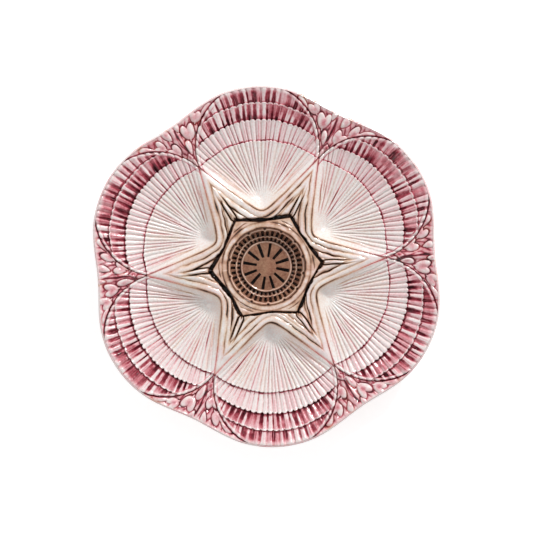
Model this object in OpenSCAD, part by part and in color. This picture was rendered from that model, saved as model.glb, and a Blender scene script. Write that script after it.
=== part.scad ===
// Oyster plate in moulded, glazed earthenware: scallop shell wells set round a sauce cup,
// held by a star of weed stems, with seaweed panels that fill the corners of a lobed rim.
// The plate stands on a foot ring. Z is up, the table is at Z = 0, and one lobe points along +Y.

/* [Plate] */
// Diameter across the lobes of the rim
plate_d = 245; // [225:1:275]
// How far each valley of the rim lies inside its lobes
valley_in = 7.7; // [5:0.1:9.5]
// How much fuller than a plain wave the shoulders of the rim are
shoulder_out = 0.5; // [0:0.1:0.8]
// Height of the rim's lobes above the table
plate_h = 26; // [22:0.5:31]
// How far the valleys of the rim dip below its lobes
rim_dip = 1.5; // [0.5:0.1:2.5]
// Thickness of the clay at the rim
lip_t = 3.6; // [2.8:0.1:4.4]
// How far the rounding of the rim reaches in from its edge
lip_round = 1.2; // [0.9:0.1:1.4]
// Width of the plain border between each shell and its lobe
border_w = 1.8; // [1.5:0.1:2.4]

/* [Shell wells] */
// Length of the seaweed from where two shells come closest out to the rim
weed_len = 34.5; // [29:0.1:40]
// Width of the stem that passes between two shells
neck_w = 2.4; // [1.6:0.1:3.2]
// Bluntness of each shell's inner tip
tip_round = 5.9; // [4:0.1:8]
// Number of ribs on a shell
rib_count = 27; // [15:2:31]
// Height of a rib over the grooves beside it
rib_h = 1; // [0.5:0.1:1.4]
// Length of the smooth hollow next to the tip, where the ribs fade out
smooth_len = 15; // [11:0.5:19]
// Drop at each growth line
step_h = 0.8; // [0.4:0.1:1.2]
// Width of that drop
step_w = 1; // [0.6:0.1:1.4]
// Thickness of the clay under the deepest part of a well
floor_t = 5; // [4:0.1:6]
// Width of the wall that runs down from the stems into a well
wall_w = 13; // [10:0.5:16]

/* [Star of stems] */
// Thickness of the clay under the stems
web_t = 14; // [11:0.5:15]
// Width of the web between the collar and each shell's tip
web_w = 6; // [4.5:0.1:7.5]
// Height of the crest along the middle of each arm
arm_rise = 1.4; // [0.8:0.1:2]
// Depth of the groove round the collar
groove_h = 3; // [2:0.1:4]
// Width of the groove round the collar
groove_w = 1.8; // [1.2:0.1:2.4]

/* [Sauce cup] */
// Diameter of the mouth of the cup
cup_d = 53; // [46:0.5:60]
// Width of the rolled ring round the cup
ring_w = 3.8; // [3:0.1:4.6]
// Height of the rolled ring over the collar
ring_h = 2.2; // [1.6:0.1:2.8]
// Width of the collar's flat border at the middle of each side
collar_w = 2; // [1.5:0.1:3]
// How far the collar lies below the stems
collar_dip = 0.6; // [0.3:0.1:1]
// Thickness of the clay under the cup's floor
cup_floor_t = 5; // [4:0.1:6]
// Diameter of the raised disc on the cup's floor
disc_d = 34.2; // [30:0.2:38]
// Height of that disc
disc_h = 1.6; // [1:0.1:2]
// Width and height of the bead round that disc
bead = 0.9; // [0.6:0.1:1.2]
// Number of slots in the disc
slot_count = 12; // [8:1:16]
// Length of a slot
slot_len = 9; // [7.5:0.1:10.5]
// Width of a slot
slot_w = 1.3; // [0.9:0.1:1.7]
// Depth of a slot and of the notches in the cup's wall
slot_h = 0.9; // [0.6:0.1:1.2]
// Number of notches in each row round the wall
notch_count = 42; // [30:3:45]
// Width of an outer notch
notch_w = 1.4; // [1:0.1:1.7]

/* [Foot] */
// Outer diameter of the foot ring
foot_d = 112; // [100:1:124]
// Width of the foot ring
foot_w = 6; // [4.5:0.1:7.5]
// Height of the foot ring
foot_h = 4; // [3:0.1:5]
// Radius of the foot ring's worn edge
foot_round = 1; // [0.6:0.1:1.4]
// Width of the level underside outside the foot ring
level_w = 6; // [4:0.1:8]

/* [Seaweed] */
// Diameter of each of the two round lobes of the largest float on a panel
float_d = 4; // [3.2:0.1:4.6]
// Height of that float over the panel
float_h = 1.2; // [0.8:0.1:1.6]
// Height of the stem along the middle of a panel
stem_h = 0.8; // [0.4:0.1:1.2]
// Depth of the line between a shell and its seaweed
edge_drop = 0.7; // [0.4:0.1:1]

/* [Hidden] */
shell_count = 6;
SHELLS = ["shell_well_1", "shell_well_2", "shell_well_3", "shell_well_4", "shell_well_5", "shell_well_6"];
WEEDS = ["seaweed_1", "seaweed_2", "seaweed_3", "seaweed_4", "seaweed_5", "seaweed_6"];

sector = 360 / shell_count;
half_sector = sector / 2;
first_shell = 90;
overrun = 1;
round_steps = 96;

// Heights above the table
web_z = foot_h + web_t;
well_z = foot_h + floor_t;
shell_end_z = plate_h - step_h - rib_h / 2;
collar_z = web_z - collar_dip;
ring_z = collar_z + ring_h;
cup_floor_z = foot_h + cup_floor_t;

// Radii from the middle of the plate
rim_r = plate_d / 2;
shell_end_r = rim_r - border_w;
neck_r = rim_r - valley_in - weed_len;
cup_r = cup_d / 2;
ring_r = cup_r + ring_w;
collar_flat = ring_r + collar_w;
collar_corner = collar_flat / cos(half_sector);
tip_r = collar_flat + web_w;
shell_len = shell_end_r - tip_r;
foot_r = foot_d / 2;
level_r = foot_r + level_w;

// The corner of a shell, beside the stem that passes between it and its neighbour
corner = [neck_r * cos(half_sector) + neck_w / 2 * sin(half_sector),
          neck_r * sin(half_sector) - neck_w / 2 * cos(half_sector)];
// The outer edge of a shell is a circle through its end and its two corners
edge_mid = (shell_end_r * shell_end_r - corner * corner) / (2 * (shell_end_r - corner[0]));
edge_r = shell_end_r - edge_mid;
// The inner edge is a hyperbola from the tip to the corners, with its centre at inner_mid
inner_mid = tip_r - tip_round;
inner_slope = corner[1] / sqrt(pow(corner[0] - inner_mid, 2) - pow(tip_round, 2));
fan_angle = atan2(corner[1], corner[0] - tip_r);

// Growth lines and rows of points, as shares of the shell's length
line_shares = [0.58, 0.75, 0.89];
near_shares = [0.045, 0.11, 0.2, 0.37];
// The most of its ray that each row may take, where the shell is too short for its place
cap_shares = [0.16, 0.36, 0.58, 0.76, 0.88, 0.91, 0.93, 0.95, 0.97, 0.985, 1];
// The most of a ray or of the web that the level underside may take
level_share = 0.6;
web_level_share = 0.9;
side_points = 7;
side_crowding = 1.6;
well_curve = 1.8;
under_curve = 0.85;
drop_half = step_w / 2;
rows = concat([for (s = near_shares) s * shell_len],
              [for (s = line_shares) each [s * shell_len - drop_half, s * shell_len + drop_half]],
              [shell_len]);

// The floats of half a panel: place from the corner to the rim and from the middle to the shell,
// then size and the turn away from the way out, each as a share of its limit
float_shares = [[0.24, 0.5, 0.72, 0.15],
                [0.5, 0.56, 1, 0.35],
                [0.72, 0.6, 0.86, 0.6],
                [0.84, 0.72, 0.72, 0.85]];
lobe_share = 0.8;
widest_turn = 70;
panel_shares = [0, 0.1, 0.4, 0.75];

// The cup's wall curves up from the pit round its disc to its mouth. Its two rows of notches have a
// start, an end and a width, as shares of the wall and of an outer notch.
wall_steps = 8;
wall_curve = 1.7;
notch_shares = [[0.08, 0.27, 0.75], [0.36, 0.68, 1]];

// Radius of the rim at angle t from a lobe
function rim_at(t) = rim_r - valley_in / 2 * (1 - cos(shell_count * t))
    + shoulder_out * (1 - cos(2 * shell_count * t));
function rim_z(t) = plate_h - rim_dip / 2 * (1 - cos(shell_count * t));

// Where a growth line has just been passed the surface starts low, and it climbs to the next line
function line_before(d) = max([0, for (s = line_shares) if (s * shell_len < d) s * shell_len]);
function line_after(d) = min([shell_len, for (s = line_shares) if (s * shell_len >= d) s * shell_len]);
function climb(d) = step_h * (d - line_before(d)) / (line_after(d) - line_before(d));

// Height of a well at distance d from the tip, and at the place [x, y], without its ribs
function floor_at(d) = well_z + (shell_end_z - well_z) * pow(min(1, d / shell_len), well_curve);
function inside(p) = sqrt(max(0, pow(p[0] - inner_mid, 2) - pow(p[1] / inner_slope, 2))) - tip_round;
function wall_share(p) = pow(max(0, 1 - max(0, inside(p)) / wall_w), 2);
function well_top(p) = let (d = norm(p - [tip_r, 0]), z = floor_at(d) + climb(d))
    z + max(0, web_z - z) * wall_share(p);
function rib_fade(d) = min(1, max(0, d / smooth_len - 0.5));

// Distance from the plate's middle to the far edge of a shell, at angle t from its lobe
function edge_at(t) = edge_mid * cos(t) + sqrt(max(0, pow(edge_r, 2) - pow(edge_mid * sin(t), 2)));

// Height of the underside at the place [x, y]: level inside the foot, then a cone up to the rim
function under_share(p) = let (t = atan2(p[1], p[0]))
    max(0, (norm(p) - level_r) / (rim_at(t) - level_r));
function under_z(p) = let (t = atan2(p[1], p[0]))
    foot_h + (rim_z(t) - lip_t - foot_h) * pow(min(1, under_share(p)), under_curve);
function level_reach(way) = sqrt(pow(level_r, 2) - pow(tip_r * way[1], 2)) - tip_r * way[0];
function well_under(p) = max(foot_h, min(under_z(p), floor_at(norm(p - [tip_r, 0])) - floor_t));

// Outline of half a shell, from its end on the lobe round to its tip
function edge_point(a) =
    let (c = edge_mid - tip_r, d = c * cos(a) + sqrt(pow(edge_r, 2) - pow(c * sin(a), 2)))
    [tip_r + d * cos(a), d * sin(a)];
function inner_point(x) = [x, inner_slope * sqrt(max(0, pow(x - inner_mid, 2) - pow(tip_round, 2)))];
edge_half = [for (i = [0:rib_count]) edge_point(i * fan_angle / rib_count)];
inner_half = [for (i = [side_points - 1:-1:1])
    inner_point(tip_r + (corner[0] - tip_r) * pow(i / side_points, side_crowding))];
outline_half = concat(edge_half, inner_half);
function flipped(points) = [for (i = [len(points) - 1:-1:0]) [points[i][0], -points[i][1]]];
outline = concat(flipped(outline_half), [for (i = [1:len(outline_half) - 1]) outline_half[i]]);
function turned(p, t) = [p[0] * cos(t) - p[1] * sin(t), p[0] * sin(t) + p[1] * cos(t)];
function at_height(p, z) = [p[0], p[1], z];

// Joins cross-sections, each a loop of as many points, into one solid with flat ends or into a ring
module loft(sections, ring = false) {
    n = len(sections);
    m = len(sections[0]);
    last = ring ? n - 1 : n - 2;
    sides = [for (i = [0:last], j = [0:m - 1])
        let (a = i * m + j, b = i * m + (j + 1) % m,
             c = (i + 1) % n * m + (j + 1) % m, e = (i + 1) % n * m + j)
        each [[a, c, b], [a, e, c]]];
    ends = ring ? [] : [[for (j = [0:m - 1]) j], [for (j = [m - 1:-1:0]) (n - 1) * m + j]];
    polyhedron([for (s = sections) each s], concat(sides, ends), convexity = 10);
}

// One scallop shell, whose ribs run out from the tip. The tip's top and bottom are points 0 and 1.
module shell_well() {
    tip = [tip_r, 0];
    ribs = 2 * rib_count;
    first_rib = side_points - 1;
    sections = [for (i = [0:len(outline) - 1])
        let (end = outline[i], len_here = norm(end - tip), way = (end - tip) / len_here,
             k = i - first_rib, rib = k < 0 || k > ribs ? 0 : (k % 2 == 1 ? 1 : -1) * rib_h / 2,
             level = min(level_share * len_here, level_reach(way)))
        concat([for (j = [0:len(rows) - 1])
                    let (d = min(rows[j], cap_shares[j] * len_here), p = tip + way * d)
                    at_height(p, well_top(p) + rib * rib_fade(d))],
               [for (d = [len_here, (level + len_here) / 2, level]) let (p = tip + way * d)
                    at_height(p, well_under(p))])];
    n = len(sections);
    m = len(sections[0]);
    strips = [for (i = [0:n - 2], j = [0:m - 2]) let (a = 2 + i * m + j, e = a + m)
        each [[a, e + 1, a + 1], [a, e, e + 1]]];
    fans = [for (i = [0:n - 2]) let (a = 2 + i * m, e = a + m, b = a + m - 1, f = b + m)
        each [[0, e, a], [1, b, f]]];
    ends = [concat([1, 0], [for (j = [0:m - 1]) 2 + j]),
            concat([0, 1], [for (j = [m - 1:-1:0]) 2 + (n - 1) * m + j])];
    color("mistyrose") polyhedron(
        concat([at_height(tip, web_z), at_height(tip, foot_h)], [for (s = sections) each s]),
        concat(strips, fans, ends), convexity = 10);
}

// Inner outline of a seaweed panel, from one lobe past the stem between two shells to the next lobe
neck_mid = neck_r * [cos(half_sector), sin(half_sector)];
panel_half = [for (i = [0:rib_count]) edge_half[i]];
panel_line = concat(panel_half, [neck_mid], [for (p = flipped(panel_half)) turned(p, sector)]);
function near_side(p) = atan2(p[1], p[0]) > half_sector ? turned(p, -sector) : p;
function stem_at(p, share) = share > 0 && p == neck_mid ? stem_h : 0;
function panel_z(p, share) = let (z = well_top(near_side(p)) - edge_drop)
    z + (rim_z(atan2(p[1], p[0])) - z) * share;
function panel_place(p, share) = let (t = atan2(p[1], p[0]), r = norm(p), out = rim_at(t) - lip_round)
    (r + (out - r) * share) * [cos(t), sin(t)];

// One float of the weed: two domes side by side, sunk into the panel
module float_pair(place, z, size, turn) {
    for (side = [-1, 1])
        translate(at_height(place, z)) rotate([0, 0, turn])
            translate([0, side * lobe_share * float_d * size / 2, (float_h - float_d / 2) * size])
                sphere(d = float_d * size, $fn = 24);
}

module seaweed_ground() {
    loft([for (i = [0:len(panel_line) - 1])
        let (p = panel_line[i], t = atan2(p[1], p[0]), way = [cos(t), sin(t)], rim = rim_at(t) * way,
             rim_in = rim - lip_round * way, low = (p + rim_in) / 2)
        concat([for (s = panel_shares) at_height(panel_place(p, s), panel_z(p, s) + stem_at(p, s))],
               [at_height(rim_in, rim_z(t)), at_height(rim, rim_z(t) - lip_t / 3),
                at_height(rim, rim_z(t) - 2 / 3 * lip_t), at_height(rim_in, rim_z(t) - lip_t),
                at_height(low, under_z(low)), at_height(p, well_under(near_side(p)))])]);
}

module seaweed() {
    out = rim_at(half_sector) - lip_round;
    color("palevioletred") union() {
        seaweed_ground();
        for (side = [-1, 1], f = float_shares) {
            r = neck_r + (out - neck_r) * f[0];
            spread = acos((pow(edge_mid, 2) + pow(r, 2) - pow(edge_r, 2)) / (2 * edge_mid * r));
            off = (half_sector - spread) * f[1];
            start = edge_at(half_sector - off);
            base = start * [cos(half_sector - off), sin(half_sector - off)];
            z = panel_z(base, (r - start) / (rim_at(half_sector - off) - lip_round - start));
            t = half_sector + side * off;
            float_pair(r * [cos(t), sin(t)], z, f[2], t + side * widest_turn * f[3]);
        }
    }
}

// The star: a web round the collar that runs out into an arm between each two shells
function collar_at(t) = let (u = (t % sector + sector) % sector) collar_flat / cos(min(u, sector - u));
star_half = concat([[tip_r, 0]], [for (i = [len(outline_half) - 1:-1:rib_count]) outline_half[i]]);
star_line = concat(star_half, [neck_mid],
    [for (i = [len(star_half) - 1:-1:1]) turned([star_half[i][0], -star_half[i][1]], sector)]);
function arm_share(p, t) = pow(max(0, cos(shell_count * (t - half_sector))), 3);

module stem_star() {
    lines = [for (k = [0:shell_count - 1], p = star_line) turned(p, k * sector)];
    color("wheat") loft([for (p = lines)
        let (t = atan2(p[1], p[0]), way = [cos(t), sin(t)], start = collar_at(t), end = norm(p),
             bank = start + groove_w, mid = (bank + end) / 2, crest = web_z + arm_rise * arm_share(p, t),
             low = start + (min(end, level_r) - start) * web_level_share)
        [at_height(start * way, web_z - groove_h), at_height(bank * way, web_z),
         at_height(mid * way, crest), at_height(p, web_z), at_height(p, under_z(p)),
         at_height(low * way, foot_h), at_height(start * way, foot_h)]],
        ring = true);
}

// The six-sided collar that carries the rolled ring round the mouth of the cup
module collar() {
    color("tan") difference() {
        union() {
            translate([0, 0, foot_h]) cylinder(r = collar_corner, h = collar_z - foot_h, $fn = shell_count);
            rotate_extrude($fn = round_steps) {
                translate([cup_r + ring_w / 2, ring_z - ring_w / 2]) circle(d = ring_w, $fn = 32);
                translate([cup_r, foot_h]) square([ring_w, ring_z - ring_w / 2 - foot_h]);
            }
        }
        translate([0, 0, foot_h - overrun]) cylinder(r = cup_r, h = plate_h, $fn = round_steps);
    }
}

// The cup: a dish with a slotted disc on its floor and two rows of notches round its wall
disc_r = disc_d / 2;
pit_r = disc_r + bead;
function wall_point(share) = [pit_r + (cup_r - pit_r) * share,
                              cup_floor_z + (collar_z - cup_floor_z) * pow(share, wall_curve)];

module cup_notch(row) {
    start = wall_point(row[0]);
    way = wall_point(row[1]) - start;
    width = notch_w * row[2];
    translate([start[0], 0, start[1]]) rotate([0, -atan2(way[1], way[0]), 0])
        translate([0, -width / 2, -slot_h]) cube([norm(way), width, slot_h + overrun]);
}

module sauce_cup() {
    wall = [for (i = [0:wall_steps]) wall_point(i / wall_steps)];
    color("rosybrown") difference() {
        rotate_extrude($fn = round_steps) {
            polygon(concat([[0, cup_floor_z], [0, foot_h], [cup_r, foot_h]],
                           [for (i = [wall_steps:-1:0]) wall[i]]));
            translate([0, cup_floor_z]) square([disc_r, disc_h]);
            translate([disc_r - bead / 2, cup_floor_z + disc_h]) circle(d = bead, $fn = 24);
        }
        for (i = [0:slot_count - 1]) rotate([0, 0, i * 360 / slot_count])
            translate([disc_r - bead - slot_len, -slot_w / 2, cup_floor_z + disc_h - slot_h])
                cube([slot_len, slot_w, slot_h + overrun]);
        for (i = [0:notch_count - 1], row = notch_shares)
            rotate([0, 0, i * 360 / notch_count]) cup_notch(row);
    }
}

module foot_ring() {
    color("antiquewhite") rotate_extrude($fn = round_steps) translate([foot_r - foot_w, 0]) {
        translate([0, foot_round]) square([foot_w, foot_h - foot_round]);
        translate([foot_round, 0]) square([foot_w - 2 * foot_round, foot_h]);
        for (x = [foot_round, foot_w - foot_round])
            translate([x, foot_round]) circle(r = foot_round, $fn = 32);
    }
}

for (i = [0:shell_count - 1]) rotate([0, 0, first_shell + i * sector]) {
    shell_well();
    seaweed();
}
rotate([0, 0, first_shell]) stem_star();
collar();
sauce_cup();
foot_ring();
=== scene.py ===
"""Looks of a moulded majolica oyster plate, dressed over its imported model.

Lengths in this script are millimetres until a mesh is finished, and then metres. Each shell has its
own frame: x runs out from the plate's middle through the shell's lobe, and y runs across it.
"""
import math

import bmesh
import bpy
import numpy as np
from mathutils import Matrix, Vector


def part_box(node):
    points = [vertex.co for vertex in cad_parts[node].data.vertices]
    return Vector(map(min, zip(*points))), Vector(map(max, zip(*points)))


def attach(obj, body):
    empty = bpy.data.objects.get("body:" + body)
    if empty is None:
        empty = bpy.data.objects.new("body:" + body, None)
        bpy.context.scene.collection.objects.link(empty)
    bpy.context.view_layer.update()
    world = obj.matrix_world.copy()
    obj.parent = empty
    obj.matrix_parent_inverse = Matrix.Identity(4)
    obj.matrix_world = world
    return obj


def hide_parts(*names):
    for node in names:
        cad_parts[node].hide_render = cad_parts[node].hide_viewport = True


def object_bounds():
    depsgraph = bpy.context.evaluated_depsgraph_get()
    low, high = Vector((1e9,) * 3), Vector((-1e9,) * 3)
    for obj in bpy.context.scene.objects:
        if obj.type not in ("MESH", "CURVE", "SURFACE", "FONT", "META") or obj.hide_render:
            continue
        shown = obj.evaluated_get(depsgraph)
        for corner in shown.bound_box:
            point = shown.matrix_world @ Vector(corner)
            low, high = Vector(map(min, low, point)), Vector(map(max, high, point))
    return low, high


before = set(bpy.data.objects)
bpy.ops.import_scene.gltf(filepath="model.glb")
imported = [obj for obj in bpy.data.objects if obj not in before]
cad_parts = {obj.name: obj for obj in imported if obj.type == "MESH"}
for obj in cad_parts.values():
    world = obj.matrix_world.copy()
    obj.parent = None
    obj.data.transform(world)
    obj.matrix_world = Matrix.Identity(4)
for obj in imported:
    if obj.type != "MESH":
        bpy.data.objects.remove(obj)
cad_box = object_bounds()

MM = 0.001
LOBES = 6
FIRST_LOBE = math.radians(90)
FULL_TURN = 2 * math.pi
SECTOR = FULL_TURN / LOBES


def node_box(name):
    """Lowest and highest corner of a node, in millimetres."""
    low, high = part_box(name)
    return np.array(low) / MM, np.array(high) / MM


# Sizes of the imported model
PLATE_LOW, PLATE_HIGH = (np.array(corner) / MM for corner in cad_box)
RIM_R = (PLATE_HIGH[1] - PLATE_LOW[1]) / 2
PLATE_H = PLATE_HIGH[2]
CUP_R = (node_box("sauce_cup")[1] - node_box("sauce_cup")[0])[0] / 2
COLLAR_FLAT = (node_box("collar")[1] - node_box("collar")[0])[1] / 2
RING_TOP = node_box("collar")[1][2]
FOOT_R = (node_box("foot_ring")[1] - node_box("foot_ring")[0])[0] / 2
FOOT_H = node_box("foot_ring")[1][2]

# The rim: a soft wave with six lobes
VALLEY_IN = 7.7
SHOULDER_OUT = 0.5
RIM_DIP = 1.5
LIP = 1.8
BORDER = 1.6

# The shells: a circle outside, a blunt hyperbola inside, ribs that start near the inner tip
SHELL_MID = 81.5
SHELL_R = 42.0
FOLD_MID = 34.2
FOLD_BLUNT = 4.3
FOLD_SPREAD = 0.9
TIP_R = FOLD_MID + FOLD_BLUNT
RIB_START = 41.5
RIB_PITCH = math.radians(3.64)
RIB_H = 1.15
GROWTH_LINES = (86.0, 100.0, 111.4)
GROWTH_BEND = 60.0
STEP_H = 1.1
WELL_Z = 9.0
WELL_END_Z = 24.7
WELL_LENGTH = 82.4
WELL_CURVE = 1.8
WALL_W = 12.0
WEB_Z = 18.0
LEAF = 2.2


# Small helpers on arrays

def smooth(low, high, value):
    """Goes softly from 0 at low to 1 at high."""
    share = np.clip((value - low) / (high - low), 0, 1)
    return share * share * (3 - 2 * share)


def ridge(distance, width):
    """A soft bump, 1 at distance 0."""
    return np.exp(-(distance / width) ** 2)


def drift(x, y, size, seed):
    """Smooth random variation from -1 to 1, with features about as wide as size."""
    table = np.random.default_rng(seed).uniform(-1, 1, (64, 64))
    column, row = np.asarray(x) / size + 200.5, np.asarray(y) / size + 200.5
    i, j = np.floor(column).astype(int), np.floor(row).astype(int)
    a, b = smooth(0, 1, column - i), smooth(0, 1, row - j)
    i, j, i2, j2 = i % 64, j % 64, (i + 1) % 64, (j + 1) % 64
    near = table[i, j] * (1 - a) + table[i2, j] * a
    far = table[i, j2] * (1 - a) + table[i2, j2] * a
    return near * (1 - b) + far * b


def chance(index, seed):
    """A random share from 0 to 1 for each whole number."""
    table = np.random.default_rng(seed).uniform(0, 1, 512)
    return table[np.asarray(index).astype(int) % 512]


def off_lobe(angle):
    """Angle from the nearest lobe."""
    return (angle - FIRST_LOBE + SECTOR / 2) % SECTOR - SECTOR / 2


def rim_at(off):
    return RIM_R - VALLEY_IN / 2 * (1 - np.cos(LOBES * off)) + SHOULDER_OUT * (1 - np.cos(2 * LOBES * off))


def rim_z(off):
    return PLATE_H - RIM_DIP / 2 * (1 - np.cos(LOBES * off))


# Outlines of a shell

def fold_x(y):
    """The inner outline, where the shell meets the folded stems."""
    return FOLD_MID + np.sqrt(FOLD_BLUNT ** 2 + (FOLD_SPREAD * y) ** 2)


def fold_distance(x, y):
    """Distance from the inner outline: above 0 in the shell, below 0 among the stems."""
    slope = FOLD_SPREAD ** 2 * y / (fold_x(y) - FOLD_MID)
    return (x - fold_x(y)) / np.sqrt(1 + slope ** 2)


def outer_edge(off):
    """Radius of the shell's outer outline, at an angle from its lobe."""
    circle = SHELL_MID * np.cos(off) + np.sqrt(np.maximum(0, SHELL_R ** 2 - (SHELL_MID * np.sin(off)) ** 2))
    return np.minimum(circle, rim_at(off) - BORDER)


def edge_distance(x, y):
    """Distance in from the shell's outer outline."""
    off = np.arctan2(y, x)
    circle = SHELL_R - np.hypot(np.maximum(x - SHELL_MID, -0.7 * SHELL_R), y)
    return np.minimum(circle, rim_at(off) - BORDER - np.hypot(x, y))


# Surface of a shell

def growth(x, y):
    """How far out a place lies, counted along the bent growth lines."""
    return x + GROWTH_BEND - np.sqrt(np.maximum(1, GROWTH_BEND ** 2 - y ** 2))


def well_floor(x, y):
    reach = np.hypot(x - TIP_R, y)
    z = WELL_Z + (WELL_END_Z - WELL_Z) * np.minimum(1, reach / WELL_LENGTH) ** WELL_CURVE
    wall = np.maximum(0, 1 - np.maximum(0, fold_distance(x, y)) / WALL_W) ** 2
    return z + np.maximum(0, WEB_Z - z) * wall


# Each growth band: place of its line, scallops on that line, pale tone, its change from rib to rib,
# least and most strength of the dark grooves, their least and most half width in ribs, pool and its width
BANDS = (
    (86.0, 0.45, 0.05, 0.15, 0.18, 0.58, 0.04, 0.17, 0.88, 1.15),
    (100.0, 1.15, 0.08, 0.34, 0.50, 0.98, 0.12, 0.45, 0.94, 1.60),
    (111.4, 0.75, 0.12, 0.38, 0.46, 0.98, 0.12, 0.42, 0.92, 1.40),
)


def shell_surface(x, y, seed):
    """Height and the amount of rose and brown glaze on one shell."""
    off = np.arctan2(y, x)
    reach = np.hypot(x - RIB_START, y)
    turn = np.arctan2(y, x - RIB_START)
    turn = turn + 0.012 * drift(reach, turn * 60, 16, seed + 1)
    count = turn / RIB_PITCH + 0.34 * drift(turn * 60, 0 * turn, 6, seed + 2)
    rib = np.floor(count)
    groove = np.rint(count)
    across = np.abs(2 * (count - rib) - 1)
    pair = count / 2
    across_pair = np.abs(2 * (pair - np.floor(pair)) - 1)
    from_groove = np.abs(count - groove)
    groove_mm = from_groove * RIB_PITCH * reach

    # Broad flutes near the tip, each of which splits in two further out
    fold = np.maximum(0, fold_distance(x, y))
    out = growth(x, y)
    narrow = smooth(17, 36, reach)
    fade = smooth(6, 20, reach) * smooth(-0.1, 6.5, fold)
    late = 12 * chance(groove, seed + 15)
    shown = fade * np.where(groove % 2 == 0, smooth(5 + late, 16 + late, reach), narrow)
    flute = (1 - narrow) * (1 - across_pair ** 2.4) * 1.25 + narrow * (1 - across ** 2.2)
    height = well_floor(x, y) + 0.16 * drift(x, y, 9, seed + 4)
    height += RIB_H * fade * (flute - 0.5)

    strength = chance(groove, seed + 6)
    line = ridge(groove_mm, 0.34)
    soft_line = ridge(groove_mm, 1.0)
    rose = 0.02 + 0.02 * drift(x, y, 7, seed + 5) + 0.06 * (chance(rib, seed + 7) > 0.75) * fade
    rose += shown * (line * (0.03 + 0.22 * strength ** 2) + soft_line * 0.07 * strength)
    stain_at = 10 + 26 * chance(groove, seed + 11)
    rose += shown * line * (chance(groove, seed + 12) > 0.88) * 0.50 * ridge(reach - stain_at, 6)
    height -= 0.20 * shown * line

    start = 0.0
    for band, (at, scallop, pale, change, weak, strong, thin, wide, pool, pool_w) in enumerate(BANDS):
        knock = chance(rib, seed + 20 + band) - 0.5
        place = at + 0.5 * drift(turn * 60, 0 * turn, 9, seed + 3 + band)
        place = place + scallop * (np.sqrt(np.maximum(0, 1 - across ** 2)) - 0.6) * (1 + 0.8 * knock)
        past = out - place
        after = smooth(-0.10, 0.25, past)
        height += STEP_H * np.clip((out - start) / (at - start), 0, 1) ** 1.5 * (1 - after) * smooth(0, 1, out - start)
        start = at

        reached = smooth(0, 12, past)
        half = thin + (wide - thin) * chance(groove, seed + 30 + band) ** 1.2
        half = half * (1 - 0.35 * reached * chance(groove, seed + 34 + band))
        ragged = from_groove + 0.05 * drift(out, count * 3, 1.8, seed + 62 + band)
        inside = 1 - smooth(half - 0.055, half + 0.055, ragged)
        depth = weak + (strong - weak) * chance(groove, seed + 38 + band) ** 0.8
        depth = depth * (1 - 0.42 * reached) * (1 + 0.22 * drift(out, turn * 60, 2.5, seed + 42 + band))
        light = pale + change * chance(rib, seed + 46 + band) ** 2
        light = light + 0.30 * ridge(across * RIB_PITCH * reach / 2, 0.22) * chance(rib, seed + 50 + band)
        if band:
            light = light + 0.34 * smooth(0.05, 0.65, drift(out, turn * 60, 8, seed + 66 + band)) * (1 - 0.4 * reached)
        tone = light * (1 - inside) + depth * inside
        width = pool_w * (0.6 + 0.9 * chance(rib, seed + 54 + band))
        puddle = pool * (1 - smooth(0.55 * width, 1.25 * width, past))
        tone = np.maximum(tone, puddle * (0.50 + 0.50 * np.maximum(inside, chance(rib, seed + 58 + band))))
        rose = rose * (1 - after) + tone * after
        height -= 0.28 * inside * after * (1 - reached * 0.4)
        # Just inside each growth line the crest is painted pale: partly glaze running thin over it, partly a painted
        # highlight.
        lit = ridge(past + 0.44, 0.38) * (1 - after)
        rose = rose * (1 - 0.95 * lit)
        height += 0.28 * lit
    height += STEP_H * np.clip((out - start) / (RIM_R - BORDER - start), 0, 1) * smooth(0, 0.6, out - start)
    rose *= 1 - 0.55 * smooth(RIM_R - BORDER - 3.2, RIM_R - BORDER, np.hypot(x, y) + RIM_R - rim_at(off))

    # A pale raised edge follows the outline, with small curls of crimson inside it
    edge = edge_distance(x, y)
    outside = smooth(GROWTH_LINES[0] - 14, GROWTH_LINES[0], np.hypot(x, y))
    off_top = smooth(math.radians(9), math.radians(17), np.abs(off))
    lift = ridge(edge - 1.0, 0.75) * outside * (0.15 + 0.85 * off_top)
    height += 0.6 * lift - 0.3 * ridge(edge, 0.35) * off_top
    curl = ridge(edge - 2.2 - 0.5 * drift(out, 0 * out, 2.4, seed + 8), 0.42) * outside * off_top
    rose = np.maximum(rose, curl * (0.50 + 0.5 * drift(x, y, 3.5, seed + 9)))
    rose *= 1 - 0.80 * lift

    # The shell's inner outline: brown round the tip, and rose towards its two corners
    near_tip = ridge(y, 25)
    hand = 0.8 + 0.35 * drift(x, y, 6, seed + 10)
    # The second term is painted shade: brown laid along the fan's grooves, with some glaze pooled in them too.
    umber = 0.15 * np.exp(-fold / 6.0) * near_tip * hand + 0.09 * shown * soft_line * chance(groove, seed + 16)
    umber += ridge(fold, 0.75) * near_tip * 0.80 * hand
    umber *= 1 - 0.7 * smooth(GROWTH_LINES[0] - 4, GROWTH_LINES[0] + 4, out)
    rose += 0.5 * ridge(fold, 0.5) * (1 - near_tip) * hand
    crack = ridge(fold - 4.4 - 0.5 * drift(x, y, 9, seed + 13), 0.40) * smooth(7, 16, np.abs(y)) * smooth(88, 70, out)
    umber += 0.30 * crack * (1 - 0.6 * smooth(16, 30, np.abs(y))) * hand
    rose += 0.34 * crack * smooth(12, 30, np.abs(y)) * (0.5 + 0.5 * drift(x, y, 8, seed + 14))
    height -= 0.35 * ridge(fold, 0.6) + 0.45 * crack
    height = np.minimum(height, rim_z(off) - 0.05)
    return height, np.clip(rose, 0, 1), np.clip(umber, 0, 1)


# Surface of the seaweed between two shells

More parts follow.
